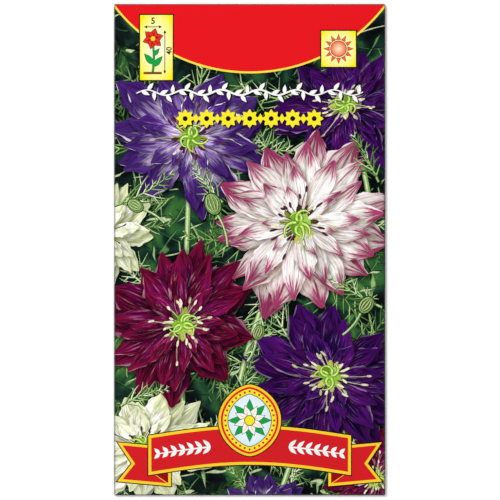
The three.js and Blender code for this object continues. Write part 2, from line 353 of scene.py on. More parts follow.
class Bloom(NamedTuple):
    place: tuple
    reach: float  # of its outer petals
    ink: str
    squash: float = 0.9  # how far it is foreshortened, and along which way
    facing: float = 0.0
    anthers: str = "stamen_dark"
    tilt: float = 0.08  # how far its middle stands off across that way, as a share of its reach

    def lean(self):
        turn = turning(-self.facing)
        return turn @ np.diag([1, self.squash]) @ turn.T

    def centre(self, share):
        """Where the petals of a layer spring from, by their share of the bloom's reach."""
        aside = np.array([-sin(self.facing), cos(self.facing)])
        return np.array(self.place) + aside * self.tilt * self.reach * (1 - share)


# Share of the bloom's reach, width as a share of that length, how many, and how light.
PETAL_LAYERS = [
    (1.0, 0.36, 11, 0.76),
    (0.92, 0.34, 10, 0.88),
    (0.78, 0.33, 9, 0.98),
    (0.60, 0.32, 8, 1.08),
    (0.42, 0.30, 6, 1.16),
]


def petals_of(bloom, draw):
    lean = bloom.lean()
    shapes = []
    for share, width, count, light in PETAL_LAYERS:
        centre = bloom.centre(share)
        claws = ellipse((0, 0), (share * bloom.reach * 0.3,) * 2) @ lean.T + centre
        shapes += inked("stamen_dark", claws, tone=0.15)
        start = draw.uniform(0, 2 * pi)
        order = list(range(count))
        draw.shuffle(order)
        for k in order:
            angle = start + (k + draw.uniform(-0.22, 0.22)) * 2 * pi / count
            length = bloom.reach * share * draw.uniform(0.88, 1.06)
            breadth = length * width * draw.uniform(0.8, 1.2)
            petal = Petal(draw, centre, lean, angle, length, breadth, light)
            shapes += inked(bloom.ink, petal.outline(), tone=petal.tone, form=petal)
    return shapes


def middle_of(bloom, draw):
    """Honey leaves, stamens, and the green ovary with its curled styles."""
    lean, centre, unit = bloom.lean(), bloom.centre(PETAL_LAYERS[-1][0]), bloom.reach / 24
    shapes = []

    def part(ink, outline, tone):
        shapes.extend(inked(ink, outline @ lean.T + centre, tone=tone))

    def lobes(ink, count, sway, out, long, wide, steps, tones):
        for k in range(count):
            angle = k * 2 * pi / count + draw.uniform(-sway, sway)
            lobe = ellipse(out_from((0, 0), angle, out * unit), (long * unit, wide * unit), angle, steps)
            part(ink, lobe, draw.uniform(*tones))

    lobes("honey_leaf", 8, 0.15, 3.3, 1.7, 0.75, 14, (0, 1))
    for k in range(26):
        angle = k * 2 * pi / 26 + draw.uniform(-0.16, 0.16)
        length = unit * draw.uniform(3.6, 7.2) * (1.7 if k % 6 == 0 else 1)
        path = curve((0, 0), angle, length, draw.uniform(-0.5, 0.5), 6)
        ink = bloom.anthers if draw.random() < 0.75 else "stamen_pale"
        part(ink, stroke(path, tapered(7, 0.3, 0.28, 0.22)), draw.uniform(0.2, 0.6))
        tip = path[-1] - path[-2]
        radii = (unit * draw.uniform(0.7, 1.1), 0.34 * unit)
        head = ellipse(path[-1], radii, atan2(tip[1], tip[0]) + draw.uniform(-0.4, 0.4), 12)
        part(ink, head, draw.uniform(0.4, 1))
    lobes("ovary", 6, 0.2, 1.5, 1.5, 1.1, 16, (0.25, 0.7))
    for k in range(6):
        angle = k * pi / 3 + draw.uniform(-0.3, 0.3)
        bend = draw.choice((-1, 1)) * draw.uniform(1.6, 3.4)
        path = curve(out_from((0, 0), angle, 0.8 * unit), angle, unit * draw.uniform(4.2, 6), bend, 12)
        for share, tone in ((1.0, 0.12), (0.7, 0.6), (0.3, 1.0)):
            part("ovary", stroke(path, unit * share * tapered(13, 1.25, 0.95, 0.35)), tone)
    return shapes


# ---- Thread-like leaves ----


def thread(start, heading, length, bend, width, tone, steps=8):
    """A thin leaf, drawn with a dark edge under a lighter line, and the curve that it follows."""
    path = curve(start, heading, length, bend, steps)
    body = tapered(steps + 1, width, width * 0.85, width * 0.2)
    edge = inked("leaf", stroke(path + (0.1, -0.12), body * 1.7), tone=tone * 0.35)
    return edge + inked("leaf", stroke(path, body), tone=tone), path


def frond(draw, start, heading, length, width, tone):
    """A stem with pairs of threads, each of them forked."""
    shapes, stem = thread(start, heading, length, draw.uniform(-0.5, 0.5), width, tone)
    for step in range(1, len(stem)):
        ahead = stem[step] - stem[step - 1]
        along = atan2(ahead[1], ahead[0])
        for side in (-1, 1):
            reach = length * draw.uniform(0.22, 0.5) * (1.15 - step / len(stem))
            angle = along + side * draw.uniform(0.45, 0.9)
            lighter = min(1, tone + draw.uniform(-0.25, 0.25))
            bend = -side * draw.uniform(0, 0.6)
            twig, path = thread(stem[step], angle, reach, bend, width * 0.7, lighter, 4)
            shapes += twig
            if draw.random() < 0.6:
                fork = angle + side * draw.uniform(0.4, 0.8)
                shapes += thread(path[2], fork, reach * 0.5, 0, width * 0.55, lighter, 1)[0]
    return shapes


def bracts_of(bloom, draw):
    """The ruff of threads that stands out behind a bloom."""
    shapes = []
    for k in range(6):
        angle = k * pi / 3 + draw.uniform(-0.3, 0.3)
        start = out_from((0, 0), angle, bloom.reach * 0.45) @ bloom.lean().T + bloom.place
        shapes += frond(draw, start, angle, bloom.reach * draw.uniform(0.7, 0.95), 0.5, draw.uniform(0.45, 1))
    return shapes


def stalk(start, heading, length, bend, width):
    """A round stalk: dark at its edges and lighter along one side."""
    path = curve(start, heading, length, bend)
    shapes = []
    for share, shift, tone in ((1.3, (0.05, -0.1), 0.12), (1.0, (0, 0), 0.62), (0.4, (-0.1, 0.1), 0.9)):
        shapes += inked("leaf", stroke(path + shift, [width * share] * len(path)), tone=tone)
    return shapes


def bud(place, angle, size):
    """A ribbed bud on a bent stalk."""
    shapes = stalk(place, angle + pi + 0.3, size * 3.4, -0.6, 0.6)
    middle = out_from(place, angle, size * 0.8)
    for aside in (-0.6, -0.2, 0.3, 0.7):
        horn = curve(out_from(middle, angle, size * 0.8), angle + aside, size * 0.9, aside, 4)
        shapes += inked("leaf", stroke(horn, tapered(5, 0.4, 0.3, 0.1)), tone=0.75)
    for share, tone in ((1.12, 0.05), (1.0, 0.55)):
        shapes += inked("leaf", ellipse(middle, (size * share, size * 0.72 * share), angle), tone=tone)
    for aside in (-0.5, -0.17, 0.17, 0.5):
        rib = [(size * x, size * aside * (1 - x * x)) for x in np.linspace(-0.85, 0.85, 7)]
        rib = turned(rib, angle, middle)
        shapes += inked("honey_leaf", stroke(rib, tapered(7, 0.1, 0.45, 0.1)), tone=0.15)
        shapes += inked("leaf", stroke(rib + (-0.25, 0.2), tapered(7, 0.1, 0.25, 0.1)), tone=0.85)
    return shapes


# ---- The picture on the front ----

BLOOMS = [
    Bloom((29, 41), 24, "petals_purple", 0.8, 0.4, "stamen_pale", 0.14),
    Bloom((-18, 32), 26, "petals_violet", 0.9, -0.5),
    Bloom((-43, 5), 17, "petals_cream", 0.85, 1.4),
    Bloom((-31, -59), 22, "petals_cream", 0.78, 0.3, tilt=0.14),
    Bloom((38, -68), 18, "petals_magenta", 0.85, 0.8, "stamen_pale"),
    Bloom((5, -79), 16, "petals_violet", 0.85, 0.1),
    Bloom((-21, -21), 26, "petals_magenta", 0.86, 0.9, "stamen_pale", -0.1),
    Bloom((23, -39), 27, "petals_purple", 0.84, -0.3, "stamen_pale", 0.12),
    Bloom((15, 7), 29, "petals_rose", 0.92, 0.6, tilt=0.05),
]

# Where each starts, which way it goes, and how long it is or how big.
NEAR_FRONDS = [((-40, 13), 0.3, 19), ((39, -17), 2.7, 17), ((-3, -46), 1.4, 15), ((38, 20), 2.0, 15),
               ((-8, 14), 2.4, 14), ((-38, -46), 0.6, 14)]
BUDS = [((-10, 11), 1.9, 3.2), ((33, -18), 0.9, 2.7), ((-32, 12), 2.6, 2.4), ((2, -26), 1.2, 2.2)]


def picture():
    draw = random.Random(4)
    shapes = []
    for tone in np.linspace(0.05, 0.75, 44):
        start = (draw.uniform(-42, 42), draw.uniform(-74, 70))
        shapes += frond(draw, start, draw.uniform(0, 2 * pi), draw.uniform(9, 20), 0.45, tone)
    for bloom in BLOOMS:
        shapes += stalk(bloom.place, draw.uniform(-2.2, -1), bloom.reach * 1.7, draw.uniform(-0.5, 0.5), 1.4)
        shapes += bracts_of(bloom, draw)
    for bloom in BLOOMS:
        shapes += petals_of(bloom, draw) + middle_of(bloom, draw)
    for place, heading, length in NEAR_FRONDS:
        shapes += frond(draw, place, heading, length, 0.5, draw.uniform(0.65, 0.85))
    for place, angle, size in BUDS:
        shapes += bud(place, angle, size)
    return shapes


# ---- The bands, boxes and ornaments round it ----

BLEED = 1.6  # how far the front's print goes round each side fold
TRIM = 1  # how far a print that runs off the blank goes past its cut edge
KEYLINE = 0.6  # the width of the line along a red field's edge
PRINT_SHADE = (0.4, -0.4)  # from a light ornament to the dark one that sets it off
HEADER_RADIUS = 50  # of the header's lower edge, a plain arc
HEADER_LOW = 52.5  # where that arc is lowest, in its middle
RIBBON_LEVEL, RIBBON_ARCH, RIBBON_HEIGHT, RIBBON_HALF = -60.5, 3.0, 10.0, 29
SEAL = (0, -50.2)


class Patch(NamedTuple):
    """What gives the places in a shape whose ink changes from its middle outwards."""

    place: tuple
    half: tuple

    def local(self, points):
        return ((points - self.place) / self.half).T


def grown(outline, by):
    """A polygon with its sides moved outwards."""
    points = anticlockwise(outline)
    ahead = np.roll(points, -1, axis=0) - points
    ahead /= np.linalg.norm(ahead, axis=1, keepdims=True)
    out = np.stack([ahead[:, 1], -ahead[:, 0]], 1)
    before = np.roll(out, 1, axis=0)
    turns = (out * before).sum(1, keepdims=True)
    return points + by * (out + before) / np.maximum(1 + turns, 0.4)  # blunt at sharp corners


def layered(outline, *layers):
    """One outline in several inks, each grown by less than the one under it."""
    return [shape for by, ink in layers for shape in inked(ink, grown(outline, by))]


def outlined(ink, by, *outlines, form=None):
    """Ornaments with a thin dark line round them."""
    return inked("shade", *(grown(outline, by) for outline in outlines)) + inked(ink, *outlines, form=form)


def set_off(ink, *outlines):
    """Light ornaments over a picture, with the same in dark behind them."""
    return inked("shade", *(np.array(outline) + PRINT_SHADE for outline in outlines)) + inked(ink, *outlines)


def leaf(base, angle, length, width):
    u = np.linspace(0, 1, 9)
    half = width / 2 * np.sin(pi * u**0.8)
    sides = np.concatenate([np.stack([u, -half / length], 1), np.stack([u, half / length], 1)[-2:0:-1]])
    return turned(sides * length, angle, base)


def star(place, count, reach, width, start=0):
    """Leaves or petals round a place."""
    return [leaf(place, turn, reach, width) for turn in np.arange(count) * 2 * pi / count + start]


def flower_head(place, count, reach, width, ink, ridge_ink):
    """Petals round a point, each with a dark line round it and a ridge along it."""
    shapes = []
    for turn in np.arange(count) * 2 * pi / count + 0.3:
        ridge = turned([(reach * 0.3, 0), (reach * 0.8, 0)], turn, place)
        shapes += outlined(ink, 0.13, leaf(place, turn, reach, width))
        shapes += inked(ridge_ink, stroke(ridge, [0.3, 0.1]))
    return shapes


def beads(outline, count, radius):
    """Round beads, evenly spaced along a closed line."""
    loop = np.concatenate([outline, outline[:1]])
    along = np.concatenate([[0], np.cumsum(np.linalg.norm(np.diff(loop, axis=0), axis=1))])
    at = np.arange(count) * along[-1] / count
    places = np.stack([np.interp(at, along, axis) for axis in loop.T], 1)
    return [ellipse(place, (radius, radius), 0, 10) for place in places]


def rectangle(low, high):
    return [low, (high[0], low[1]), high, (low[0], high[1])]


def header():
    x = np.linspace(LEFT - BLEED, RIGHT + BLEED, 61)
    edge = HEADER_LOW + HEADER_RADIUS - np.sqrt(HEADER_RADIUS**2 - x**2)
    outline = [*zip(x, edge), (x[-1], TOP_EDGE + TRIM), (x[0], TOP_EDGE + TRIM)]
    return layered(outline, (KEYLINE, "keyline"), (0, "red"))


def figures(text, place, height):
    """Outlines of plain numbers, centred on a place."""
    letters = bpy.data.curves.new("figures", "FONT")
    letters.body = text
    letters.resolution_u = 3
    letters.offset = 0.02  # bolder
    written = bpy.data.objects.new("figures", letters)
    mesh = bpy.data.meshes.new_from_object(written)
    points = np.array([vertex.co[:2] for vertex in mesh.vertices])
    low, high = points.min(0), points.max(0)
    points = (points - (low + high) / 2) * height / (high[1] - low[1]) + place
    outlines = [points[list(face.vertices)] for face in mesh.polygons]
    bpy.data.objects.remove(written)
    bpy.data.curves.remove(letters)
    bpy.data.meshes.remove(mesh)
    return outlines


def sign_box(place, half=(5.1, 5.3)):
    box = rectangle(np.subtract(place, half), np.add(place, half))
    return outlined("sign_yellow", 0.35, box, form=Patch(place, half))


def arrow(start, end):
    """A line with a head at each end."""
    start, end = np.array(start, float), np.array(end, float)
    along = (end - start) / np.linalg.norm(end - start)
    aside = np.array([-along[1], along[0]]) * 0.45
    heads = [[tip, tip + back + aside, tip + back - aside] for tip, back in ((start, along), (end, -along))]
    return [stroke([start + along * 0.6, end - along * 0.6], [0.22, 0.22]), *heads]


def sun_sign(place, radius=2.3):
    rays = [turned([(2.75, -0.55), (4.3, 0), (2.75, 0.55)], turn, place) for turn in np.arange(12) * pi / 6]
    disc = ellipse(place, (radius, radius), 0, 28)
    return [*sign_box(place), *outlined("orange", 0.12, *rays),
            *outlined("sign_orange", 0.14, disc, form=Patch(place, (radius, radius)))]


def size_sign(place):
    """A plant between arrows that give its width and height."""
    x, y = place
    head = (x - 1.0, y + 2.6)
    plant = [stroke([(x - 1.0, y - 7.2), (x - 0.7, y - 3), (x - 1.0, y + 2)], [0.5, 0.5, 0.4]),
             leaf((x - 0.85, y - 5.6), 0.85, 3.9, 1.6), leaf((x - 0.85, y - 4.9), 2.3, 4.0, 1.7),
             leaf((x - 0.8, y - 2.4), 0.9, 2.6, 1.1)]
    arrows = arrow((x - 3.7, y + 6.1), (x + 1.7, y + 6.1)) + arrow((x + 2.5, y - 7.8), (x + 2.5, y + 5.2))
    height = [turned(part, pi / 2, (x + 3.7, y - 1)) for part in figures("40", (0, 0), 1.7)]
    return [
        *sign_box(place, (4.8, 9.6)),
        *inked("sign_soil", rectangle((x - 3.8, y - 7.9), (x + 1.6, y - 7.2))),
        *outlined("sign_green", 0.1, *plant),
        *flower_head(head, 6, 3.0, 2.1, "sign_red", "dark_red"),
        *inked("gold", ellipse(head, (0.7, 0.7), 0, 12)),
        *inked("shade", *arrows, *figures("5", (x - 1.0, y + 7.9), 1.9), *height),
    ]


def vine_row(place, half):
    """A wavy stem with leaves on both sides."""
    x = np.linspace(-half, half, 97)
    turns, swing = 2 * pi / 11, 0.8
    outlines = [stroke(np.stack([x, swing * np.sin(turns * x)], 1), tapered(97, 0.3, 0.6, 0.3))]
    for k, x in enumerate(np.arange(-half + 1.5, half - 1, 1.83)):
        lean = (0.95 if k % 2 else -0.95) + 0.6 * cos(turns * x)
        outlines.append(leaf((x, swing * sin(turns * x)), lean, 2.7, 1.15))
    return [outline + place for outline in outlines]


def rosette_row(level, half):
    """Yellow rosettes with lozenges between them."""
    outlines = []
    for k, x in enumerate(np.linspace(-half, half, 13)):
        lozenge = [(x - 0.9, level), (x, level - 1.5), (x + 0.9, level), (x, level + 1.5)]
        outlines += [lozenge] if k % 2 else star((x, level), 8, 2.8, 1.7)
    middles = [ellipse((x, level), (0.75, 0.75), 0, 12) for x in np.linspace(-half, half, 7)]
    return set_off("yellow", *outlines) + inked("shade", *middles)


def ribbon_middle(x):
    return RIBBON_LEVEL + RIBBON_ARCH * np.cos(pi * x / (2 * RIBBON_HALF))


def ribbon():
    """A banner that arches up in its middle, with swallow tails behind its ends."""
    half = RIBBON_HEIGHT / 2
    low = RIBBON_LEVEL - 3.4
    shapes = []
    for side in (-1, 1):
        inner, end = side * 24, side * 37.5
        tail = [(inner, low - half), (end, low - half + 1.2), (side * 33.8, low + 0.8),
                (end, low + half + 1.2), (inner, low + half)]
        fold = [(inner, RIBBON_LEVEL - half), (side * RIBBON_HALF, RIBBON_LEVEL - half), (inner, low - half)]
        shapes += layered(tail, (1.1, "shade"), (0.8, "gold"), (0, "ribbon_red"))
        shapes += layered(fold, (0.25, "gold"), (0, "dark_red"))
    x = np.linspace(-RIBBON_HALF, RIBBON_HALF, 41)
    band = [*zip(x, ribbon_middle(x) - half), *zip(x[::-1], ribbon_middle(x)[::-1] + half)]
    return shapes + layered(band, (1.15, "shade"), (0.85, "gold"), (0, "ribbon_red"))


def spray(side):
    """A white twig with leaves in pairs, on the ribbon."""
    stem = [(x, ribbon_middle(x)) for x in (side * 11.5 + side * 2.5 * step for step in range(7))]
    leaves = [leaf(base, (0 if side > 0 else pi) + lean, 3.1 - 0.15 * step, 1.15)
              for step, base in enumerate(stem) for lean in (-0.75, 0.75)]
    return inked("white", stroke(stem, np.linspace(0.5, 0.3, 7)), *leaves)


def seal():
    """A pointed oval with a plain rosette in it, over the ribbon's middle."""
    turn = np.linspace(0, 2 * pi, 48, endpoint=False)
    wide = 9.2 * np.sign(np.cos(turn)) * np.abs(np.cos(turn)) ** 1.25
    oval = np.stack([wide, 10.6 * np.sin(turn)], 1) + SEAL
    return [
        *layered(oval, (0.3, "shade"), (0, "gold"), (-0.7, "red"), (-1.3, "yellow"), (-2.7, "shade")),
        *inked("red", *beads(grown(oval, -2.0), 32, 0.36)),
        *inked("seal_middle", grown(oval, -2.9), form=Patch(SEAL, (6, 7.5))),
        *outlined("sign_green", 0.12, *star(SEAL, 8, 6.2, 2.3)),
        *flower_head(SEAL, 8, 4.6, 2.0, "white", "gold"),
        *inked("shade", ellipse(SEAL, (1.6, 1.6))), *inked("yellow", ellipse(SEAL, (1.4, 1.4))),
    ]


# ---- The back's print ----


def drop_sign(place):
    x, y = place
    turn = np.linspace(-pi * 1.1, pi * 0.1, 15)
    drop = np.array([*((cos(t), sin(t)) for t in turn), (0.35, 1.7), (0, 3.4), (-0.35, 1.7)]) * 1.5
    drops = [drop + (x - 1.7, y - 2.6), drop * 0.75 + (x + 1.9, y - 1.4)]
    return sign_box(place) + outlined("sign_blue", 0.12, *drops)


def calendar(low, wide):
    """Twelve numbered months, and under them bars for the months to sow and to bloom."""
    x, y = low
    step = wide / 12
    top, foot = y + 6.5, y - 7.4
    shapes = inked("white", rectangle((x, y), (x + wide, top)))
    for month in range(12):
        middle = x + (month + 0.5) * step
        shapes += inked("shade", *figures(str(month + 1), (middle, y + 3.25), 2.6))
    for bar, (first, last, ink) in enumerate(((2, 5, "sign_soil"), (5, 9, "petal_pink"))):
        level = y - 3.2 * (bar + 1)
        shapes += inked(ink, rectangle((x + first * step, level), (x + last * step, level + 2.2)))
    rules = [rectangle((x + k * step - 0.1, foot), (x + k * step + 0.1, top)) for k in range(13)]
    rules += [rectangle((x - 0.1, level - 0.1), (x + wide + 0.1, level + 0.1)) for level in (foot, y, top)]
    return shapes + inked("leaf_green", *rules)


def sprout(place, size):
    """A young plant with two leaves on a little heap of soil."""
    x, y = place
    fork = (x, y + 6.4 * size)
    shapes = []
    for angle in (0.62, pi - 0.62):
        blade = leaf(fork, angle, 5.4 * size, 2.9 * size)
        shapes += layered(blade, (0.2, "sign_green"), (0, "spring_green"))
        shapes += inked("sign_green", stroke([fork, out_from(fork, angle, 4.6 * size)], [0.3, 0.12]))
    stem = stroke([(x, y + 0.8), (x + 0.25 * size, y + 3.5 * size), fork], [0.9, 0.75, 0.5])
    soil = [(x + 3.4 * cos(t), y + 1.6 * sin(t)) for t in np.linspace(0, pi, 13)]
    return shapes + inked("sign_green", stem) + inked("sign_soil", soil)


def growing(place):
    """The plant from seed to bloom, in three steps."""
    x, y = place
    stem = stroke([(x + 22, y), (x + 22.4, y + 5), (x + 22, y + 11)], [0.8, 0.7, 0.5])
    blades = [leaf((x + 22.3, y + level), angle, 4.2, 1.2)
              for level, angle in ((2.2, 0.7), (3.4, 2.3), (5.6, 0.8), (6.8, 2.4))]
    head = (x + 22, y + 12)
    return [
        *inked("sign_soil", rectangle((x - 31, y - 2.4), (x + 31, y))),
        *inked("shade", ellipse((x - 22, y - 1.2), (1.0, 0.6), 0.2, 12)),
        *sprout(place, 0.9), *inked("sign_green", stem, *blades),
        *inked("petal_pink", *star(head, 8, 4.4, 1.9, 0.2)), *inked("gold", ellipse(head, (0.9, 0.9), 0, 14)),
    ]


def back_print():
    x = LEFT_END + LEFT  # where the middle of the back is on the blank
    low, high = (BACK_EDGE - TRIM, -TOP), (LEFT - BLEED, TOP)
    lines = [rectangle((x - 30, level), (x + 30, level + 0.2)) for level in np.arange(-50, -34, 3.6)]
    return [
        *inked("pale_panel", rectangle(low, high)),
        *layered(rectangle((low[0], 49.5), high), (KEYLINE, "gold"), (0, "red")),
        *inked("leaf_green", *vine_row((x, 43.5), 30)),
        *size_sign((x - 22, 28)), *sun_sign((x, 32)), *drop_sign((x + 22, 32)),
        *calendar((x - 30, 8), 60), *growing((x, -23)), *inked("leaf_green", *lines),
    ]


def print_shapes():
    field = rectangle((LEFT - BLEED, BOTTOM_EDGE - TRIM), (RIGHT + BLEED, TOP_EDGE + TRIM))
    return [
        *inked("blurred_leaves", field), *picture(), *header(),
        *size_sign((-27.5, 59.6)), *sun_sign((26.2, 59.2)),
        *set_off("white", *vine_row((0, 46.3), 33.4)), *rosette_row(38.6, 19),
        *ribbon(), *spray(1), *spray(-1), *seal(), *back_print(),
    ]


# ---- From ink shapes to triangles ----

FRONT_SPACING, BACK_SPACING = 1.2, 2.5  # of the points that keep the sheet's triangles even
EDGE_STEP = 2  # the longest straight edge of an ink
STRAIGHT = 0.003  # how far a line may miss a place that it leaves out
SAME_PLACE = 1e-4  # places nearer than this are one


def triangulated(places, edges):
    """Triangles over all the places that follow every edge, and where each place is in them."""
    found = delaunay_2d_cdt([Vector(p) for p in places], edges, (), 0, SAME_PLACE, True)
    here = {source: at for at, sources in enumerate(found[3]) for source in sources}
    return np.array([tuple(p) for p in found[0]]), np.array(found[2]), here


def ring(start, count):
    return [(start + k, start + (k + 1) % count) for k in range(count)]


def is_inside(points, outline):
    x, y = points.T
    inside = np.zeros(len(points), bool)
    for (x0, y0), (x1, y1) in zip(outline, np.roll(outline, -1, axis=0)):
        if y0 != y1:
            inside ^= ((y0 > y) != (y1 > y)) & (x < x0 + (y - y0) / (y1 - y0) * (x1 - x0))
    return inside


def top_shapes(points, shapes):
    """The number of the shape on top at each point, or -1 off the blank, which is shape 0."""
    order = np.argsort(points[:, 0])
    points = points[order]
    tops = np.full(len(points), -1)
    for number, shape in enumerate(shapes):
        low, high = shape.outline.min(0), shape.outline.max(0)
        first, last = np.searchsorted(points[:, 0], (low[0], high[0]))
        y = points[first:last, 1]
        near = first + np.flatnonzero((y >= low[1]) & (y <= high[1]))
        near = near[(tops[near] >= 0) | (number == 0)]
        tops[near[is_inside(points[near], shape.outline)]] = number
    found = np.empty_like(tops)
    found[order] = tops
    return found


def straightened(places, edges):
    """The same lines without the places where they don't turn, which hidden shapes have left on them."""
    ends = {}
    for a, b in edges:
        ends.setdefault(a, []).append(b)
        ends.setdefault(b, []).append(a)
    for middle in sorted(ends):
        a, b = ends[middle][0], ends[middle][-1]
        if len(ends[middle]) != 2 or b in ends[a]:
            continue
        whole, part = places[b] - places[a], places[middle] - places[a]
        if abs(whole[0] * part[1] - whole[1] * part[0]) < STRAIGHT * np.hypot(*whole):
            ends[a][ends[a].index(middle)] = b
            ends[b][ends[b].index(middle)] = a
            del ends[middle]
    return [(a, b) for a, others in ends.items() for b in others if a < b]


def in_steps(places, edges):
    """The same edges, with the long ones divided so that they can follow the folded sheet."""
    short = []
    for a, b in edges:
        stops = between(places[a], places[b], EDGE_STEP)[1:]
        chain = [a, *range(len(places), len(places) + len(stops)), b]
        places.extend(stops)
        short += zip(chain, chain[1:])
    return places, short


def seen_edges(shapes):
    """The lines where the ink that is on top changes, and the blank's own edge."""
    places, edges = [], []
    for shape in shapes:
        edges += ring(len(places), len(shape.outline))
        places.extend(shape.outline)
    places, triangles, _ = triangulated(places, edges)
    tops = top_shapes(places[triangles].mean(1), shapes)
    kinds = {}
    looks = [kinds.setdefault(shape[1:], len(kinds)) for shape in shapes] + [-1]
    seen = {}
    for triangle, top in zip(triangles.tolist(), tops.tolist()):
        for edge in zip(triangle, triangle[1:] + triangle[:1]):
            seen[edge] = looks[top]
    edges = straightened(places, [(a, b) for (a, b), look in seen.items() if look > seen.get((b, a), -1)])
    used = sorted({end for edge in edges for end in edge})
    at = {old: new for new, old in enumerate(used)}
    return in_steps([places[old] for old in used], [(at[a], at[b]) for a, b in edges])


def side_of_blank(places, edges, spacing, shapes):
    """One side of the blank in small triangles, whose sides follow the edges and the folds.

    Its places, its triangles, the shape on top of each, and where the first places are in it.
    """
    places = [*places, *even_points(spacing, BACK_SPACING)]
    for line in fold_lines():
        edges.append((len(places), len(places) + 1))
        places.extend(line)
    places, triangles, here = triangulated(places, edges)
    tops = top_shapes(places[triangles].mean(1), shapes)
    return places, triangles[tops >= 0], tops[tops >= 0], here


def edge_of(triangles):
    """The places round the outside of the triangles, in order."""
    edges = {edge for t in triangles.tolist() for edge in zip(t, t[1:] + t[:1])}
    ahead = {a: b for a, b in edges if (b, a) not in edges}
    loop = [min(ahead)]
    while ahead[loop[-1]] != loop[0]:
        loop.append(ahead[loop[-1]])
    return loop


# ---- Shading in the print ----

SHADOW_FALL = np.array([0.35, -0.45])  # how far a petal's shadow falls in the picture
SHADOW_START, SHADOW_SOFTNESS = -0.3, 1.1  # how far outside its outline a shadow starts to fade, and ends
SHADOW_COVER, SHADOW_DEPTH = 0.85, 0.85


def corner_values(shapes, points, tops):
    """For each corner of the print's triangles, its place in its shape of ink, and its light."""
    local = np.zeros((len(points), 3))
    light, shade = np.ones(len(points)), np.zeros(len(points))
    local[:, 2] = np.array([shape.tone for shape in shapes])[tops]
    for number, shape in enumerate(shapes):
        if shape.form is None:
            continue
        mine = tops == number
        u, v = shape.form.local(points[mine])
        local[mine, 0], local[mine, 1] = u, v
        if not isinstance(shape.form, Petal):
            continue
        light[mine] = shape.form.light(u, v)
        low = shape.outline.min(0) - SHADOW_SOFTNESS + SHADOW_FALL
        high = shape.outline.max(0) + SHADOW_SOFTNESS + SHADOW_FALL
        under = (tops < number) & (tops > 0) & ((points > low) & (points < high)).all(1)
        away = shape.form.outside(points[under] - SHADOW_FALL)
        cover = SHADOW_COVER * (1 - smooth(SHADOW_START, SHADOW_SOFTNESS, away))
        shade[under] = 1 - (1 - shade[under]) * (1 - cover)
    return local, light * (1 - SHADOW_DEPTH * shade)


# ---- The mesh of the whole sheet ----


def placed(name, data):
    thing = bpy.data.objects.new(name, data)
    bpy.context.scene.collection.objects.link(thing)
    return thing


def added(name, mesh, slot, *nodes):
    """Puts a mesh into the scene as a piece of the packet that stands for CAD nodes."""
    piece = placed(name, mesh)
    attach(piece, "root")
    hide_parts(*nodes)
    return piece


def flat_sheet(shapes):
    """The blank before it is folded, as faces: its printed side, its inner side, and then its cut edge.

    Gives their places on the blank, which of those are on the inner side, the faces, how many
    of them are at the cut edge, and the number of the shape on top of each printed one.
    """
    outer, printed, tops, _ = side_of_blank(*seen_edges(shapes), FRONT_SPACING, shapes)
    loop = np.array(edge_of(printed))
    edge = outer[loop]
    inner, bare_side, _, here = side_of_blank(
        edge, ring(0, len(edge)), BACK_SPACING, [Shape(edge, "inside")])
    far_loop = np.array([here[k] for k in range(len(loop))]) + len(outer)
    rim = np.stack([np.roll(loop, -1), loop, far_loop, np.roll(far_loop, -1)], 1)
    faces = [*printed.tolist(), *(bare_side[:, ::-1] + len(outer)).tolist(), *rim.tolist()]
    flat = np.concatenate([outer, inner])
    return flat, np.arange(len(flat)) >= len(outer), faces, len(rim), tops


def bake_places(flat, is_inner, rim_faces):
    """Places on a map of the sheet: of its two sides' places, and of the corners of its rim's faces.

    The front has most of the room. The inner side is beside the outer one, and then the rim.
    """
    inner = np.interp(flat[:, 0], [BACK_EDGE, SEAM_EDGE], [0.86, 0.98])
    outer = np.interp(flat[:, 0], [BACK_EDGE, LEFT, RIGHT, SEAM_EDGE], [0.005, 0.23, 0.79, 0.85])
    up = np.interp(flat[:, 1], [BOTTOM_EDGE, TOP_EDGE], [0.005, 0.995])
    start = 0.005 + 0.99 * np.arange(rim_faces) / rim_faces
    end = start + 0.99 / rim_faces
    across = np.tile([0.99, 0.99, 0.997, 0.997], rim_faces)
    rim = np.stack([across, np.stack([end, start, start, end], 1).ravel()], 1)
    return np.stack([np.where(is_inner, inner, outer), up], 1), rim


def set_values(mesh, name, domain, values):
    kind, holder = ("FLOAT", "value") if values.ndim == 1 else ("FLOAT_VECTOR", "vector")
    mesh.attributes.new(name, kind, domain).data.foreach_set(holder, values.astype(np.float32).ravel())


def lay_inks(mesh, shapes, tops):
    """Gives each printed face its ink, and all the others the bare inner side."""
    inks = sorted({shape.ink for shape in shapes}) + ["inside"]
    for ink in inks:
        mesh.materials.append(material(*INKS[ink]))
    numbers = [inks.index(shapes[top].ink) for top in tops]
    numbers += [len(inks) - 1] * (len(mesh.polygons) - len(tops))
    mesh.polygons.foreach_set("material_index", numbers)


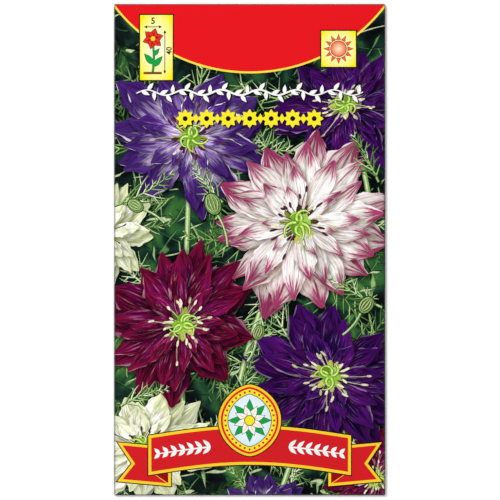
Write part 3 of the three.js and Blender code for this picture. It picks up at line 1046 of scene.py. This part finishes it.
def printed_sachet():
    shapes = [Shape(blank_outline(), "paper"), *print_shapes()]
    flat, is_inner, faces, rim_faces, tops = flat_sheet(shapes)
    middle, facing = sheet_at(flat)
    outward = facing * np.where(is_inner, -1, 1)[:, None]
    mesh = bpy.data.meshes.new("printed_sachet")
    mesh.from_pydata((middle + outward * PAPER / 2) * MM, [], faces)
    corners = np.zeros(len(mesh.loops), int)
    mesh.loops.foreach_get("vertex_index", corners)
    printed, not_rim = 3 * len(tops), len(corners) - 4 * rim_faces

    local, light = np.zeros((len(corners), 3)), np.ones(len(corners))
    local[:printed], light[:printed] = corner_values(shapes, flat[corners[:printed]], np.repeat(tops, 3))
    set_values(mesh, "in_shape", "CORNER", local)
    set_values(mesh, "light", "CORNER", light)
    set_values(mesh, "on_blank", "POINT", np.pad(flat, ((0, 0), (0, 1))))
    sides, rim_places = bake_places(flat, is_inner, rim_faces)
    places = np.concatenate([sides[corners[:not_rim]], rim_places])
    mesh.uv_layers.new(name="OFBake").uv.foreach_set("vector", places.astype(np.float32).ravel())
    lay_inks(mesh, shapes, tops)

    mesh.polygons.foreach_set("use_smooth", np.arange(len(faces)) < len(faces) - rim_faces)
    normals = outward[corners]
    normals[not_rim:] = 0  # the cut edge keeps its own
    mesh.normals_split_custom_set(normals)
    mesh.update()
    return added("printed_sachet", mesh, "coated_paper", "sachet")


# ---- The seeds and the glue ----

SEED_BED_RADII = (14.5, 8)
UPPER_LAYER_SHARE = 0.45
SEED_LENGTH, SEED_RADIUS = 2.4, 0.9
SEED_PITCH, SEED_SCATTER = (1.8, 1.45), 0.4
SEED_LEVELS = (0.6, 1.5)
RANDOM_START = 11


def seed_places():
    """Where the seeds of the packet's solid lie: x, y, z and the turn of each."""
    state = RANDOM_START

    def drawn():
        nonlocal state
        state = (state * 1664525 + 1013904223) % 4294967296
        return state / 4294967296

    places = []
    for share, level in zip((1, UPPER_LAYER_SHARE), SEED_LEVELS):
        wide, high = SEED_BED_RADII[0] * share, SEED_BED_RADII[1] * share
        rows, columns = ceil(high / SEED_PITCH[1]), ceil(wide / SEED_PITCH[0]) + 1
        for row in range(-rows, rows + 1):
            for column in range(-columns, columns + 1):
                x = (column + fmod(row, 2) / 2) * SEED_PITCH[0] + (drawn() - 0.5) * SEED_SCATTER
                y = row * SEED_PITCH[1] + (drawn() - 0.5) * SEED_SCATTER
                yaw = drawn() * pi
                if hypot(x / wide, y / high) <= 1:
                    places.append((SEED_BED[0] + x, SEED_BED[1] + y, level, yaw))
    return places


def seed_form(draw):
    """One seed along x: three blunt edges, and wrinkles across them. The rings, and the faces."""
    rings, sides = 11, 12
    turn = np.linspace(0, 2 * pi, sides, endpoint=False) + pi / 2
    flat_side = 0.5 / np.cos((turn - pi / 2) % (2 * pi / 3) - pi / 3)
    section = np.minimum(flat_side, 0.92)  # blunts the edges between the three flat sides
    start = draw.uniform(0, 6)
    points = [(-0.5 * SEED_LENGTH, 0, 0)]
    for k in range(1, rings - 1):
        share = k / (rings - 1)
        swell = sin(pi * share**0.85) ** 0.6 * SEED_RADIUS
        wrinkle = 1 - 0.05 * (1 + np.sin(share * 26 + start + 2 * np.sin(3 * turn)))
        radius = swell * section * wrinkle
        x = np.full(sides, (share - 0.5) * SEED_LENGTH)
        points.extend(np.stack([x, radius * np.cos(turn), radius * np.sin(turn)], 1))
    points.append((0.5 * SEED_LENGTH, 0, 0))
    last = len(points) - 1
    faces = []
    for side in range(sides):
        other = (side + 1) % sides
        faces += [(0, 1 + side, 1 + other), (last, last - sides + other, last - sides + side)]
        faces += [(at + side, at + sides + side, at + sides + other, at + other)
                  for at in range(1, last - sides, sides)]
    return np.array(points), faces


def seed_charge():
    draw = random.Random(7)
    points, faces = [], []
    for x, y, z, yaw in seed_places():
        form, sides = seed_form(draw)
        faces += [tuple(corner + len(points) for corner in face) for face in sides]
        points.extend(np.column_stack([turned(form[:, :2], yaw, (x, y)), form[:, 2] + z]))
    mesh = bpy.data.meshes.new("seed_charge")
    mesh.from_pydata(np.array(points) * MM, [], faces)
    mesh.polygons.foreach_set("use_smooth", [True] * len(faces))
    mesh.materials.append(material("wrinkled_seed_coat", seed_skin))
    return added("seed_charge", mesh, "seed_coat", "seeds")


def glue_lines():
    glue = material("dried_paper_glue", dried_glue)
    for name in ("seam_glue", "bottom_flap_glue", "top_flap_glue"):
        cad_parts[name].material_slots[0].material = glue


# ---- Materials ----

FOLD_WEAR_AND_SHADE = (0.55, 0.2)  # how far from a fold, in mm, its wear and its painted shade begin, and where they are full
LIGHTEST_INK = 0.94  # the most light that the printed picture gives back


def linear(code):
    """A colour as a shader takes it, from its sRGB hex code."""
    parts = [int(code[k:k + 2], 16) / 255 for k in (1, 3, 5)]
    return [p / 12.92 if p <= 0.04045 else ((p + 0.055) / 1.055) ** 2.4 for p in parts] + [1]


def add(tree, kind, *inputs, stops=(), **named):
    """Adds a node with its settings, its inputs and a ramp's stops, and gives its outputs.

    An input is a value or a link. Inputs come in their order, or by name, as the settings do.
    """
    node = tree.nodes.new("ShaderNode" + kind)
    sockets = {socket.identifier: socket for socket in node.inputs}
    for name, value in (named | dict(zip(sockets, inputs))).items():
        if name not in sockets:
            setattr(node, name, value)
        elif isinstance(value, bpy.types.NodeSocket):
            tree.links.new(value, sockets[name])
        else:
            sockets[name].default_value = value
    for at, (place, code) in enumerate(stops):
        elements = node.color_ramp.elements
        element = elements[at] if at < 2 else elements.new(place)
        element.position, element.color = place, linear(code)
    return node.outputs


def material(name, shader, *values):
    """A material whose shader is made by a function that takes the node tree and the values."""
    made = bpy.data.materials.new(name)
    made.use_nodes = True
    made.node_tree.nodes.clear()
    add(made.node_tree, "OutputMaterial", shader(made.node_tree, *values))
    return made


def laid(tree, colour, *layers):
    """Lays colours over a colour. Each covers up to its most, as its value goes from low to high."""
    for value, low, high, most, code in layers:
        cover = add(tree, "MapRange", value, low, high, 0, most)[0]
        colour = add(tree, "Mix", cover, data_type="RGBA", A_Color=colour, B_Color=linear(code))[2]
    return colour


def dimmed(tree, colour, *layers):
    """Multiplies a colour by least to most, as each value goes from low to high."""
    for value, low, high, least, most in layers:
        share = add(tree, "MapRange", value, low, high, least, most)[0]
        colour = add(tree, "VectorMath", colour, share, operation="MULTIPLY")[0]
    return colour


def streaked(tree, place, stretch, **settings):
    """A noise in streaks. It changes faster along a way whose number in the stretch is higher."""
    place = add(tree, "VectorMath", place, stretch, operation="MULTIPLY")[0]
    return add(tree, "TexNoise", place, Scale=1.0, **settings)["Fac"]


def at_folds(tree, place):
    """1 along the four folds, where the coating has cracked and shade is painted into the ink, and 0
    elsewhere.
    """
    shares = []
    for along, edge in zip(add(tree, "SeparateXYZ", place), (HIGH.x, HIGH.y)):
        along = add(tree, "Math", along, operation="ABSOLUTE")[0]
        away = add(tree, "Math", along, edge, operation="SUBTRACT")[0]
        away = add(tree, "Math", away, operation="ABSOLUTE")[0]
        shares.append(add(tree, "MapRange", away, *FOLD_WEAR_AND_SHADE)[0])
    return add(tree, "Math", *shares, operation="MAXIMUM")[0]


def coated(tree, colour):
    """Ink under the gloss of coated paper: flat and clean, faintly grained, dull at the folds and darkened
    there by painted shade.
    """
    place = add(tree, "Attribute", attribute_name="on_blank")["Vector"]
    fold_wear_and_shade = at_folds(tree, place)
    gloss = add(tree, "MapRange", fold_wear_and_shade, 0, 1, 0.19, 0.5)[0]
    # The fibres under a coating are about 0.03 mm wide. They are drawn 0.5 mm apart to show.
    fibres = add(tree, "TexNoise", place, Scale=2.0, Detail=3.0)["Fac"]
    bump = add(tree, "Bump", Height=fibres, Strength=0.05, Distance=0.00002)[0]
    # Ink lies a little uneven on the paper, by about 3 in a hundred, and the folds are darkened with painted
    # shade.
    colour = dimmed(tree, colour, (fibres, 0, 1, 0.96, 1.03), (fold_wear_and_shade, 0, 1, 1.0, 0.3))
    return add(tree, "BsdfPrincipled", colour, Roughness=gloss, IOR=1.5, Normal=bump)[0]


def lit(tree, colour, shade="#000000", grain=None, depth=0.25):
    """A colour with the light of the printed picture, and its small lights and darks.

    Shade is what the deepest shadow leaves of white. Grain is a noise for the small lights and
    darks, and depth is how strong they are.
    """
    light = add(tree, "Attribute", attribute_name="light")["Fac"]
    if grain is None:
        blank = add(tree, "Attribute", attribute_name="on_blank")["Vector"]
        # The sharpest detail that a picture this size holds is about 0.4 mm across.
        grain = add(tree, "TexNoise", blank, Scale=1.7, Detail=2.0, Roughness=0.7)[0]
    sharp = add(tree, "MapRange", grain, 0.3, 0.7, 1 - depth, 1 + depth)[0]
    light = add(tree, "Math", light, sharp, operation="MULTIPLY")[0]
    dark = add(tree, "VectorMath", colour, linear(shade)[:3], operation="MULTIPLY")[0]
    shaded = add(tree, "Mix", light, data_type="RGBA", clamp_factor=False, A_Color=dark, B_Color=colour)[2]
    return add(tree, "VectorMath", shaded, (LIGHTEST_INK,) * 3, operation="MINIMUM")[0]


def petals(tree, base, middle, other, edge, tip, vein, streak, shade="#000000", tips_from=0.7, edges=0.5,
           veins=0.6, streaks=0.45, contrast=0.45):
    """Petals in fine streaks from base to tip. In patches, the middle turns to the other colour."""
    spot = add(tree, "Attribute", attribute_name="in_shape")["Vector"]
    along, across, tone = add(tree, "SeparateXYZ", spot)
    rim = add(tree, "Math", across, operation="ABSOLUTE")[0]

    # Veins are about 0.1 mm wide. They are drawn 0.4 mm wide to show.
    patch, coarse, fine = (
        streaked(tree, spot, stretch, Detail=detail, Roughness=0.62)
        for stretch, detail in (((2.2, 1.3, 23), 1.0), ((2.4, 4.5, 23), 4.0), ((3.6, 9.5, 23), 3.0)))
    broken = along
    for part, depth in ((coarse, 0.9), (fine, 0.6)):
        broken = add(tree, "Math", part, depth, broken, operation="MULTIPLY_ADD")[0]
    # Where an edge is turned over, its pale back shows as a short line.
    turned_over = add(tree, "Math", across, patch, operation="MULTIPLY")[0]
    colour = laid(
        tree, linear(middle), (patch, 0.42, 0.6, 1, other), (broken, 1.13, 0.82, 1, base),
        (rim, 0.45, 1.05, edges, edge), (fine, 0.46, 0.34, veins, vein), (fine, 0.58, 0.68, streaks, streak),
        (broken, tips_from + 0.7, tips_from + 0.84, 0.96, tip), (turned_over, 0.45, 0.5, streaks, streak))
    # The petal's relief: streaks again, a crease down its middle, and its own lightness.
    colour = dimmed(tree, colour, (coarse, 0.36, 0.62, 1 - contrast, 1 + contrast),
                    (rim, 0, 0.16, 0.7, 1), (tone, 0, 1, 1.2, 0.85))
    return coated(tree, lit(tree, colour, shade, fine, 0.5))


def toned(tree, *stops):
    """An ink from dark to light by the tone of each shape."""
    spot = add(tree, "Attribute", attribute_name="in_shape")["Vector"]
    tone = add(tree, "SeparateXYZ", spot)[2]
    return coated(tree, lit(tree, add(tree, "ValToRGB", tone, stops=stops)[0]))


# Which way each set of thin leaves runs, how far apart they are in mm, and their colour.
THIN_LEAVES = [(0.35, 3.9, "#2C5A30"), (2.2, 4.7, "#5E9150"), (1.3, 5.3, "#9DBF7A"), (2.8, 6.1, "#C6D8A4")]


def blurred_leaves(tree):
    """Leaves far behind the blooms: soft patches out of focus, crossed by thin leaves."""
    blank = add(tree, "Attribute", attribute_name="on_blank")["Vector"]
    far = add(tree, "TexNoise", blank, Scale=0.085, Detail=2.0, Roughness=0.5, Distortion=0.8)["Fac"]
    colour = add(tree, "ValToRGB", far, stops=[
        (0.38, "#060A0C"), (0.76, "#5F8E42"), (0.48, "#0C1A18"), (0.56, "#163228"), (0.65, "#30622F")])[0]
    for turn, apart, code in THIN_LEAVES:
        along = add(tree, "VectorRotate", blank, rotation_type="Z_AXIS", Angle=turn)[0]
        # The leaves wander by up to 7 mm, and each is about 8 mm long.
        wander = streaked(tree, along, (0.045, 0.11, 1), Detail=1.0)
        cells = streaked(tree, along, (0.11, 0.6, 1), Detail=0.0)
        aside = add(tree, "SeparateXYZ", along)[1]
        aside = add(tree, "Math", wander, 14.0, aside, operation="MULTIPLY_ADD")[0]
        shown = add(tree, "MapRange", cells, 0.5, 0.58)[0]
        # Each is a light line with a dark one beside it.
        for shift, ink in ((0.4, "#070C0E"), (0, code)):
            wave = add(tree, "Math", aside, 2 * pi / apart, shift, operation="MULTIPLY_ADD")[0]
            wave = add(tree, "Math", wave, operation="SINE")[0]
            line = add(tree, "Math", wave, shown, operation="MULTIPLY")[0]
            colour = laid(tree, colour, (line, 0.92, 0.98, 0.85, ink))
    return coated(tree, lit(tree, colour))


def solid(tree, code):
    """One ink, darker where the drawing shades it."""
    light = add(tree, "Attribute", attribute_name="light")["Fac"]
    return coated(tree, add(tree, "VectorMath", linear(code)[:3], light, operation="MULTIPLY")[0])


def radial(tree, middle, edge):
    """An ink that goes from one colour in the middle to another at the edge, each with how far out it is."""
    spot = add(tree, "Attribute", attribute_name="in_shape")["Vector"]
    flat = add(tree, "VectorMath", spot, (1, 1, 0), operation="MULTIPLY")[0]
    away = add(tree, "VectorMath", flat, operation="LENGTH")["Value"]
    share = add(tree, "MapRange", away, middle[0], edge[0])[0]
    return coated(tree, add(tree, "ValToRGB", share, stops=[(0, middle[1]), (1, edge[1])])[0])


def bare(tree, grain, relief, depth, strength, dark, pale, **surface):
    """A surface with no coat or ink: dark to pale with its grain, and uneven with its relief."""
    colour = add(tree, "ValToRGB", grain, stops=[(0.3, dark), (0.7, pale)])[0]
    bump = add(tree, "Bump", Height=relief, Strength=strength, Distance=depth)[0]
    return add(tree, "BsdfPrincipled", colour, Normal=bump, **surface)[0]


def uncoated_paper(tree):
    """The inner side and the cut edges: bare wood-free paper, matt and slightly fluffy."""
    place = add(tree, "Attribute", attribute_name="on_blank")["Vector"]
    fibres = add(tree, "TexNoise", place, Scale=3.0, Detail=4.0)["Fac"]
    return bare(tree, fibres, fibres, 0.00003, 0.3, "#E4E1D8", "#F6F4EE", Roughness=0.85)


def seed_skin(tree):
    """A ripe seed's skin: dull black, with a net of fine wrinkles that catches a little light."""
    place = add(tree, "TexCoord")["Object"]
    # The net's meshes are about 0.25 mm across.
    net = add(tree, "TexVoronoi", place, feature="DISTANCE_TO_EDGE", Scale=4000.0)["Distance"]
    patches = add(tree, "TexNoise", place, Scale=700.0, Detail=3.0)["Fac"]
    return bare(tree, patches, net, 0.00005, 0.5, "#0F0C0B", "#2A211C", Roughness=0.62, IOR=1.45)


def dried_glue(tree):
    """White glue that has dried clear and a little yellow, uneven from the brush."""
    brushed = streaked(tree, add(tree, "TexCoord")["Object"], (900, 250, 900), Detail=3.0)
    return bare(tree, brushed, brushed, 0.00003, 0.3, "#D9D2B4", "#EFEAD6", Roughness=0.3, IOR=1.47)


# Each of these lies even and clean under the gloss of the coating, in one colour.
SOLID_INKS = {
    "red": "#E2161E", "ribbon_red": "#D01E25", "dark_red": "#8E0F16", "gold": "#FACE2C",
    "keyline": "#F9DC4A", "yellow": "#F6E62C", "shade": "#161014", "orange": "#F0642E",
    "sign_red": "#E2331F", "sign_green": "#17A046", "spring_green": "#7CC83C", "sign_blue": "#2E8FD0",
    "petal_pink": "#C83A86", "leaf_green": "#4E9A54", "pale_panel": "#F3F6E4",
}

# The name of each ink's material, and what makes its shader.
INKS = {
    **{ink: ("print_" + ink, solid, code) for ink, code in SOLID_INKS.items()},
    "paper": ("coated_white_paper", solid, "#F4F3EF"),
    "white": ("unprinted_white", solid, "#F4F4F2"),
    "sign_soil": ("print_soil_brown", solid, "#7A4A22"),
    "inside": ("uncoated_paper", uncoated_paper),
    "blurred_leaves": ("print_blurred_leaves", blurred_leaves),
    "leaf": ("print_thread_leaves", toned, (0, "#0A140C"), (1, "#EAF3CE"), (0.3, "#33592B"),
             (0.55, "#6F954E"), (0.8, "#B2CF86")),
    "honey_leaf": ("print_honey_leaves", toned, (0, "#3A1222"), (1, "#C9CF55"), (0.5, "#7E8A2E")),
    "stamen_dark": ("print_dark_stamens", toned, (0, "#120818"), (1, "#5A2A3C")),
    "stamen_pale": ("print_pale_stamens", toned, (0, "#6E6A34"), (1, "#F4F1CB")),
    "ovary": ("print_ovary", toned, (0, "#1F4410"), (1, "#DDF08A"), (0.5, "#7FB82C")),
    "sign_yellow": ("print_sign_yellow", radial, (0.35, "#FBF8D2"), (1.25, "#F9EA00")),
    "sign_orange": ("print_sign_orange", radial, (0.0, "#FFE6C0"), (1.0, "#EE5A34")),
    "seal_middle": ("print_seal_middle", radial, (0.2, "#FFFFFF"), (1.1, "#CFE8F4")),
    "petals_rose": ("print_rose_white_petals", partial(
        petals, base="#C8CC86", middle="#F7F5EF", other="#F0E2E0", edge="#EED6E2", tip="#920A54",
        vein="#BCA68C", streak="#FCFBF8", shade="#7C664E", tips_from=0.77, veins=0.5, streaks=0.6,
        contrast=0.14)),
    "petals_cream": ("print_cream_petals", partial(
        petals, base="#B0C856", middle="#F6F7EA", other="#E4EABC", edge="#EFF0D8", tip="#E2E6B2",
        vein="#B8BE86", streak="#FCFCF6", shade="#727A48", tips_from=0.85, veins=0.5, streaks=0.5,
        contrast=0.14)),
    "petals_magenta": ("print_magenta_petals", partial(
        petals, base="#140310", middle="#5C062C", other="#760C52", edge="#400422", tip="#6C0A30",
        vein="#1C020F", streak="#D9A0B0", tips_from=0.8, streaks=0.35)),
    "petals_purple": ("print_purple_petals", partial(
        petals, base="#060512", middle="#260646", other="#520D62", edge="#1A0636", tip="#3A0A56",
        vein="#0A031A", streak="#AE98BE", tips_from=0.75, streaks=0.35)),
    "petals_violet": ("print_violet_petals", partial(
        petals, base="#4A1E60", middle="#CDBBDC", other="#9474B6", edge="#7A50A2", tip="#380A64",
        vein="#583480", streak="#F7F2FB", shade="#240C3C", tips_from=0.58, edges=0.55, streaks=0.6,
        contrast=0.35)),
}


# ---- The surroundings ----

VIEW_SPAN = 147.5  # how much of the scene the square view takes in, mm
VIEW_MIDDLE = (0.1, -0.1)  # the place in the middle of the view
FOCAL_LENGTH, SENSOR_WIDTH = 120, 36
STUDIO_LIGHT = 1.3
LAMP_PLACE, LAMP_SIZE, LAMP_WATTS = (-1.4, 1.36, 1.40), 0.7, 42
FLOOR_HALF = 2.0  # m


def matt(tree, code):
    """An even, dull surface of one colour, with no sheen."""
    return add(tree, "BsdfPrincipled", linear(code), Roughness=0.8)[0]


def floor():
    corners = [(x * FLOOR_HALF, y * FLOOR_HALF, 0) for x, y in ((-1, -1), (1, -1), (1, 1), (-1, 1))]
    mesh = bpy.data.meshes.new("floor")
    mesh.from_pydata(corners, [], [(0, 1, 2, 3)])
    mesh.materials.append(material("pale_floor", matt, "#FCFCFC"))
    piece = placed("floor", mesh)


def studio():
    """A lamp, and a wide ring of soft light overhead, dark in its middle, which the gloss mirrors."""
    world = bpy.data.worlds.new("studio")
    bpy.context.scene.world = world
    world.use_nodes = True
    tree = world.node_tree
    up = add(tree, "SeparateXYZ", add(tree, "TexCoord")["Generated"])[2]
    light = add(tree, "ValToRGB", up, stops=[
        (0.5, "#8C8C8C"), (0.9, "#080808"), (0.6, "#FFFFFF"), (0.83, "#FFFFFF")])[0]
    back = tree.nodes["Background"]
    tree.links.new(light, back.inputs["Color"])
    back.inputs["Strength"].default_value = STUDIO_LIGHT

    lamp = bpy.data.lights.new("lamp", "AREA")
    lamp.size, lamp.energy = LAMP_SIZE, LAMP_WATTS
    hung = placed("lamp", lamp)
    hung.location = LAMP_PLACE
    hung.rotation_euler = Vector(LAMP_PLACE).to_track_quat("Z", "Y").to_euler()
    bpy.context.scene.view_settings.view_transform = "Standard"


def camera():
    lens = bpy.data.cameras.new("camera")
    lens.lens, lens.sensor_width = FOCAL_LENGTH, SENSOR_WIDTH
    eye = placed("camera", lens)
    height = VIEW_SPAN * FOCAL_LENGTH / SENSOR_WIDTH + FRONT_LEVEL
    eye.location = [at * MM for at in (*VIEW_MIDDLE, height)]
    bpy.context.scene.camera = eye


camera()
studio()
floor()
printed_sachet()
seed_charge()
glue_lines()
